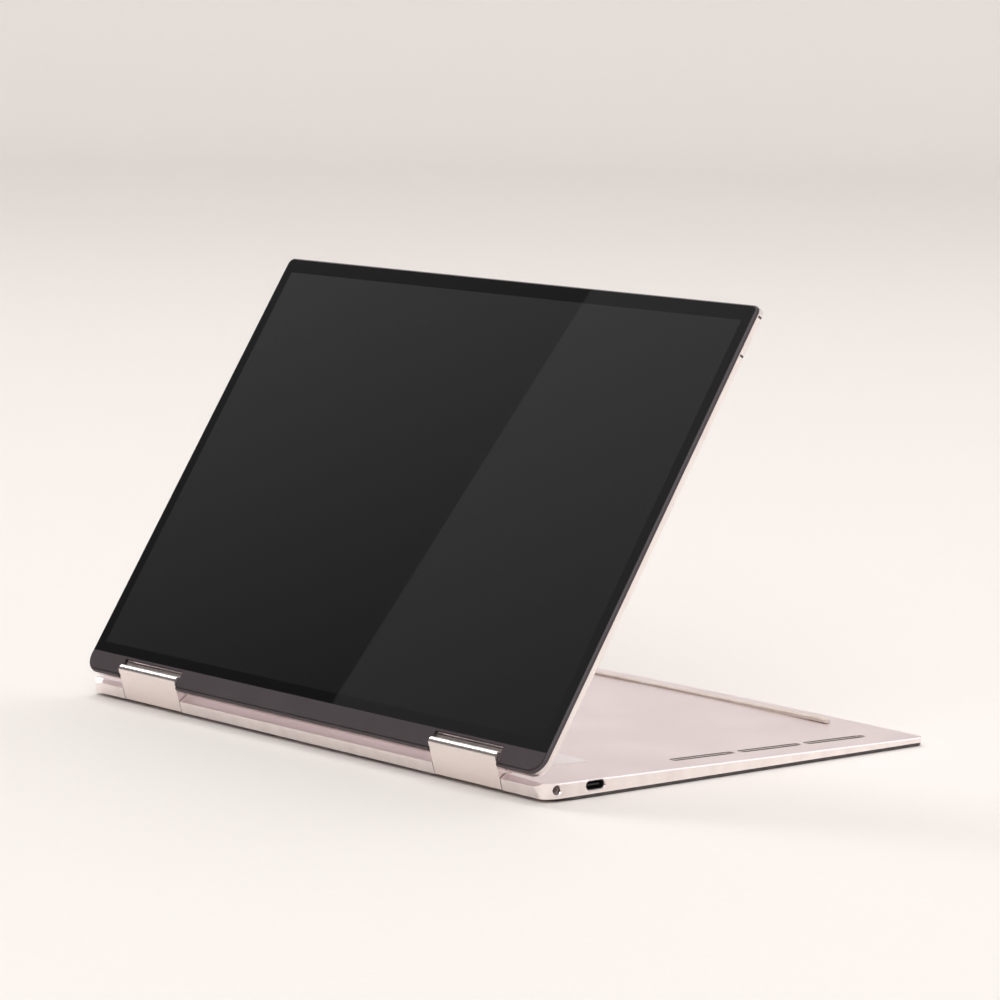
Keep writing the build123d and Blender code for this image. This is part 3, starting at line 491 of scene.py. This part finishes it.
# ---------------------------------------------------------------- finishes inside the casings
def etched_touchpad_glass():
    """Acid-etched glass, painted dark behind: smooth to the finger, with a soft sheen."""
    made, tree = start("etched_touchpad_glass")
    point = add(tree, "ShaderNodeTexCoord", "Object")
    etch = add(tree, "ShaderNodeTexNoise", "Fac", {"Vector": point, "Scale": 1 / (0.4 * MM), "Detail": 2.0})
    etched = add(tree, "ShaderNodeMapRange", "Result", LUMPS | {"Value": etch})
    tone = add(tree, "ShaderNodeMix", MIXED_COLOUR, {
        SHARE: etched,
        COLOUR_A: linear("#332f31"),
        COLOUR_B: linear("#393537"),
    }, data_type="RGBA")
    rough = add(tree, "ShaderNodeMapRange", "Result",
                LUMPS | {"Value": etch, "To Min": 0.30, "To Max": 0.38})
    relief = add(tree, "ShaderNodeBump", "Normal",
                 {"Height": etch, "Distance": 0.006 * MM, "Strength": 0.4})
    surface = add(tree, "ShaderNodeBsdfPrincipled", "BSDF", {
        "Base Color": tone,
        "Roughness": rough,
        "IOR": 1.52,
        "Normal": relief,
    })
    add(tree, "ShaderNodeOutputMaterial", None, {"Surface": surface})
    return made


def solder_masked_board():
    """Fibreglass board under dark green solder mask, with copper tracks showing as slightly raised lines."""
    made, tree = start("solder_masked_board")
    point = add(tree, "ShaderNodeTexCoord", "Object")
    tracks = {
        "Vector": point,
        "Scale": 1 / (9.0 * MM),
        "Mortar Size": 0.03,
        "Color1": linear("#12352c"),
        "Color2": linear("#173d33"),
        "Mortar": linear("#2f6a52"),
    }
    tone = add(tree, "ShaderNodeTexBrick", "Color", tracks)
    raised = add(tree, "ShaderNodeTexBrick", "Fac", tracks)
    relief = add(tree, "ShaderNodeBump", "Normal",
                 {"Height": raised, "Distance": 0.03 * MM, "Strength": 0.6})
    surface = add(tree, "ShaderNodeBsdfPrincipled", "BSDF", {
        "Base Color": tone,
        "Roughness": 0.35,
        "IOR": 1.55,
        "Coat Weight": 0.3,
        "Coat Roughness": 0.15,
        "Normal": relief,
    })
    add(tree, "ShaderNodeOutputMaterial", None, {"Surface": surface})
    return made


def rolled_copper():
    """Flattened copper heat pipe: warm metal with a few darker tarnished patches."""
    made, tree = start("rolled_copper")
    point = add(tree, "ShaderNodeTexCoord", "Object")
    tarnish = add(tree, "ShaderNodeTexNoise", "Fac",
                  {"Vector": point, "Scale": 1 / (14 * MM), "Detail": 4.0})
    tarnished = add(tree, "ShaderNodeMapRange", "Result", LUMPS | {"Value": tarnish})
    tone = add(tree, "ShaderNodeMix", MIXED_COLOUR, {
        SHARE: tarnished,
        COLOUR_A: linear("#c98a62"),
        COLOUR_B: linear("#8f5a3f"),
    }, data_type="RGBA")
    drawn_out = add(tree, "ShaderNodeMapping", "Vector", {"Vector": point, "Scale": (1.0, 0.1, 1.0)})
    lines = add(tree, "ShaderNodeTexNoise", "Fac",
                {"Vector": drawn_out, "Scale": 1 / (0.4 * MM), "Detail": 3.0})
    rough = add(tree, "ShaderNodeMapRange", "Result",
                LUMPS | {"Value": lines, "To Min": 0.24, "To Max": 0.38})
    relief = add(tree, "ShaderNodeBump", "Normal",
                 {"Height": lines, "Distance": 0.01 * MM, "Strength": 0.4})
    surface = add(tree, "ShaderNodeBsdfPrincipled", "BSDF", {
        "Base Color": tone,
        "Metallic": 1.0,
        "Roughness": rough,
        "Normal": relief,
    })
    add(tree, "ShaderNodeOutputMaterial", None, {"Surface": surface})
    return made


def crinkled_battery_wrap():
    """Black polymer foil shrunk over flat cells: long shallow wrinkles under a satin sheen."""
    made, tree = start("crinkled_battery_wrap")
    point = add(tree, "ShaderNodeTexCoord", "Object")
    lengthened = add(tree, "ShaderNodeMapping", "Vector", {"Vector": point, "Scale": (1.0, 0.4, 1.0)})
    wrinkles = add(tree, "ShaderNodeTexNoise", "Fac",
                   {"Vector": lengthened, "Scale": 1 / (7 * MM), "Detail": 5.0})
    wrinkled = add(tree, "ShaderNodeMapRange", "Result", LUMPS | {"Value": wrinkles})
    tone = add(tree, "ShaderNodeMix", MIXED_COLOUR, {
        SHARE: wrinkled,
        COLOUR_A: linear("#1b1c1f"),
        COLOUR_B: linear("#26282c"),
    }, data_type="RGBA")
    rough = add(tree, "ShaderNodeMapRange", "Result",
                LUMPS | {"Value": wrinkles, "To Min": 0.32, "To Max": 0.50})
    relief = add(tree, "ShaderNodeBump", "Normal",
                 {"Height": wrinkles, "Distance": 0.15 * MM, "Strength": 0.6})
    surface = add(tree, "ShaderNodeBsdfPrincipled", "BSDF", {
        "Base Color": tone,
        "Roughness": rough,
        "IOR": 1.5,
        "Normal": relief,
    })
    add(tree, "ShaderNodeOutputMaterial", None, {"Surface": surface})
    return made


def nickel_plate():
    """Nickel-plated magnet: smooth, bright and slightly warm."""
    made, tree = start("nickel_plate")
    point = add(tree, "ShaderNodeTexCoord", "Object")
    haze = add(tree, "ShaderNodeTexNoise", "Fac", {"Vector": point, "Scale": 1 / (3 * MM), "Detail": 3.0})
    hazy = add(tree, "ShaderNodeMapRange", "Result", LUMPS | {"Value": haze})
    tone = add(tree, "ShaderNodeMix", MIXED_COLOUR, {
        SHARE: hazy,
        COLOUR_A: linear("#b9b6ae"),
        COLOUR_B: linear("#c8c6c0"),
    }, data_type="RGBA")
    rough = add(tree, "ShaderNodeMapRange", "Result",
                LUMPS | {"Value": haze, "To Min": 0.12, "To Max": 0.22})
    surface = add(tree, "ShaderNodeBsdfPrincipled", "BSDF", {
        "Base Color": tone,
        "Metallic": 1.0,
        "Roughness": rough,
    })
    add(tree, "ShaderNodeOutputMaterial", None, {"Surface": surface})
    return made


def dress():
    """Gives every CAD node its finish."""
    casing = satin_anodised_aluminium("casing_aluminium", ("#e8dcde", "#eee2e4"), (0, 0, 1))
    lid_metal = satin_anodised_aluminium("lid_aluminium", ("#ebe1e3", "#f1e7e9"), LID_FACES)
    hinge_metal = satin_hinge_metal()
    deck = woven_carbon_deck()
    bezel = moulded_polycarbonate("bezel_polycarbonate", ("#3a3034", "#40363a"))
    keycap = moulded_polycarbonate("keycap_abs", ("#262426", "#2c2a2c"), rough=(0.48, 0.6), grain_mm=0.4)
    black_moulding = moulded_polycarbonate("black_moulding", ("#17181a", "#1e1f21"))
    window = moulded_polycarbonate("antenna_window", ("#4a4447", "#524c4f"))
    jack_moulding = moulded_polycarbonate("jack_moulding", ("#a79a92", "#b5a9a1"))
    chip = moulded_polycarbonate("chip_epoxy", ("#1a1b1d", "#202124"), rough=(0.3, 0.42))
    steel = brushed_metal("hinge_steel", ("#85868a", "#9a9b9f"))
    sheet = brushed_metal("sheet_stainless", ("#8f9093", "#a6a7aa"), stretch=(1.0, 0.1, 1.0))
    screw = brushed_metal("screw_steel", ("#a5a5a8", "#bcbcbf"), stretch=(1, 1, 1))
    fins = brushed_metal("fin_aluminium", ("#b8babd", "#c9cbce"))
    board = solder_masked_board()
    port = drawn_port_steel()
    rubber = silicone_rubber()
    magnet = nickel_plate()
    finishes = {
        "base_cover": casing,
        "keyboard_deck": deck,
        "front_foot": rubber,
        "rear_foot": rubber,
        "rating_label": matt_polyester_film(),
        "cover_screws": screw,
        "keyboard_tray": sheet,
        "touchpad_bracket": sheet,
        "touchpad": etched_touchpad_glass(),
        "battery_cells": crinkled_battery_wrap(),
        "battery_board": board,
        "mainboard": board,
        "wireless_card": board,
        "display_board": board,
        "processor": chip,
        "memory_chips": chip,
        "heat_pipe": rolled_copper(),
        "cooling_fins": fins,
        "speaker_meshes": woven_wire_mesh(),
        "usb_port_right": port,
        "usb_port_left": port,
        "headphone_jack": jack_moulding,
        "card_slot": sheet,
        "base_magnets": magnet,
        "lid_magnets": magnet,
        "bracket_screws": screw,
        "lid_shell": lid_metal,
        "lid_bezel": bezel,
        "cover_glass": back_printed_glass(),
        "display_panel": chip,
        "camera_module": black_moulding,
        "microphones": black_moulding,
        "antenna_inserts": window,
        "power_button": keycap,
        "space_bar": keycap,
    }
    for side in ("_right", "_left"):
        finishes["hinge_cover" + side] = hinge_metal
        for name in ("fan_housing", "fan_rotor", "speaker"):
            finishes[name + side] = black_moulding
        for name in ("base_bracket", "base_shaft", "lid_bracket", "lid_shaft", "hinge_frame"):
            finishes[name + side] = steel
    for name in NODES:
        NODES[name].data.materials.clear()
        NODES[name].data.materials.append(finishes.get(name, keycap))    # the rows of keys need no entry


def soften(name, width_mm, segments=2, angle=35):
    """Rounds a CAD node's sharp edges a little, so that they catch the light."""
    piece = NODES[name]
    edge = piece.modifiers.new("edge_break", "BEVEL")
    edge.width = width_mm * MM
    edge.segments = segments
    edge.limit_method = "ANGLE"
    edge.angle_limit = math.radians(angle)
    edge.use_clamp_overlap = True
    edge.harden_normals = True


# ---------------------------------------------------------------- studio
CAMERA_AT = Vector((1.2963, -1.1248, 0.3111))
CAMERA_RIGHT = Vector((0.65339069, 0.75683622, 0.01671944))
CAMERA_FORWARD = Vector((-0.74950376, 0.64984952, -0.12625261))
CAMERA_LENS = 149.335


def make_camera():
    data = bpy.data.cameras.new("camera")
    data.lens = CAMERA_LENS
    data.sensor_width = 36.0
    data.clip_start = 0.05
    data.clip_end = 60.0
    camera = bpy.data.objects.new("camera", data)
    up = CAMERA_RIGHT.cross(CAMERA_FORWARD)
    turn = Matrix((CAMERA_RIGHT, up, -CAMERA_FORWARD)).transposed()
    camera.matrix_world = Matrix.Translation(CAMERA_AT) @ turn.to_4x4()
    bpy.context.scene.collection.objects.link(camera)
    bpy.context.scene.camera = camera


def make_floor():
    """A pale sheet that curves up far behind the object."""
    mesh = bpy.data.meshes.new("floor")
    form = bmesh.new()
    half_width, near, far, bend, wall = 6.0, -5.0, 5.0, 1.2, 5.0
    steps = 12
    profile = [(near, 0.0), (far, 0.0)]
    for step in range(1, steps + 1):
        turn = math.pi / 2 * step / steps
        profile.append((far + bend * math.sin(turn), bend - bend * math.cos(turn)))
    profile.append((far + bend, wall))
    rows = [[form.verts.new((x, y, z)) for x in (-half_width, half_width)] for y, z in profile]
    for low, high in zip(rows, rows[1:]):
        form.faces.new((low[0], low[1], high[1], high[0]))
    form.to_mesh(mesh)
    form.free()
    floor = bpy.data.objects.new("floor", mesh)
    bpy.context.scene.collection.objects.link(floor)
    for face in mesh.polygons:
        face.use_smooth = True
    floor.rotation_euler = (0, 0, math.atan2(CAMERA_FORWARD.y, CAMERA_FORWARD.x) - math.pi / 2)
    made, tree = start("pale_paper")
    point = add(tree, "ShaderNodeTexCoord", "Object")
    grain = add(tree, "ShaderNodeTexNoise", "Fac", {"Vector": point, "Scale": 1 / (4 * MM), "Detail": 3.0})
    tone = add(tree, "ShaderNodeMix", MIXED_COLOUR, {
        SHARE: grain,
        COLOUR_A: linear("#eae5e1"),
        COLOUR_B: linear("#ede8e4"),
    }, data_type="RGBA")
    surface = add(tree, "ShaderNodeBsdfPrincipled", "BSDF", {"Base Color": tone, "Roughness": 0.7})
    add(tree, "ShaderNodeOutputMaterial", None, {"Surface": surface})
    mesh.materials.append(made)


def make_world():
    """A pale wall behind the object and a dim room in front of it, with a slow change between them."""
    world = bpy.data.worlds.new("studio")
    world.use_nodes = True
    tree = world.node_tree
    tree.nodes.clear()
    direction = add(tree, "ShaderNodeTexCoord", "Generated")
    backward = add(tree, "ShaderNodeSeparateXYZ", "Y", {"Vector": direction})
    strength = add(tree, "ShaderNodeMapRange", "Result", {
        "Value": backward,
        "From Min": -0.46,
        "From Max": 0.0,
        "To Min": 0.07,
        "To Max": 0.85,
    }, interpolation_type="SMOOTHSTEP")
    background = add(tree, "ShaderNodeBackground", "Background",
                     {"Color": linear("#f7f3f1"), "Strength": strength})
    add(tree, "ShaderNodeOutputWorld", None, {"Surface": background})
    bpy.context.scene.world = world


def make_glare_card():
    """A pale card whose slanting long edge shows across the glass, and so lightens the glass right of it."""
    edge_top = Vector((-1.576, -0.771, 1.446))
    edge_foot = Vector((-1.675, -1.022, 1.083))
    across = Vector((0.8946, -0.4423, 0.0640))
    down = (edge_foot - edge_top).normalized()
    length, width = 0.9, 0.5
    data = bpy.data.lights.new("glare_card", "AREA")
    data.shape = "RECTANGLE"
    data.size, data.size_y = length, width
    data.energy = 0.26
    light = bpy.data.objects.new("glare_card", data)
    middle = (edge_top + edge_foot) / 2 + across * width / 2
    turn = Matrix((down, across, down.cross(across))).transposed()
    if (turn @ Vector((0, 0, -1))).dot(-middle) < 0:
        turn = Matrix((down, -across, down.cross(-across))).transposed()
    light.matrix_world = Matrix.Translation(middle) @ turn.to_4x4()
    light.visible_camera = False
    bpy.context.scene.collection.objects.link(light)


def make_sun(name, comes_from, power, spread_deg, colour="#ffffff"):
    data = bpy.data.lights.new(name, "SUN")
    data.energy = power
    data.angle = math.radians(spread_deg)
    data.color = linear(colour)[:3]
    light = bpy.data.objects.new(name, data)
    light.rotation_mode = "QUATERNION"
    light.rotation_quaternion = (-Vector(comes_from)).to_track_quat("-Z", "Y")
    bpy.context.scene.collection.objects.link(light)


dress()
for name, width in (
    ("base_cover", 0.18),
    ("lid_shell", 0.2),
    ("hinge_cover_right", 0.25),
    ("hinge_cover_left", 0.25),
    ("cover_glass", 0.06),
    ("headphone_jack", 0.08),
    ("usb_port_right", 0.08),
    ("usb_port_left", 0.08),
):
    soften(name, width)
make_camera()
make_floor()
make_world()
make_sun("back_light", (-0.35, 0.65, 0.68), 1.3, 60)
make_sun("front_light", (0.45, -0.60, 0.66), 1.55, 50)
make_sun("edge_light", (-0.75, -0.02, 0.66), 0.5, 18)
make_glare_card()
bpy.context.scene.view_settings.view_transform = "Standard"
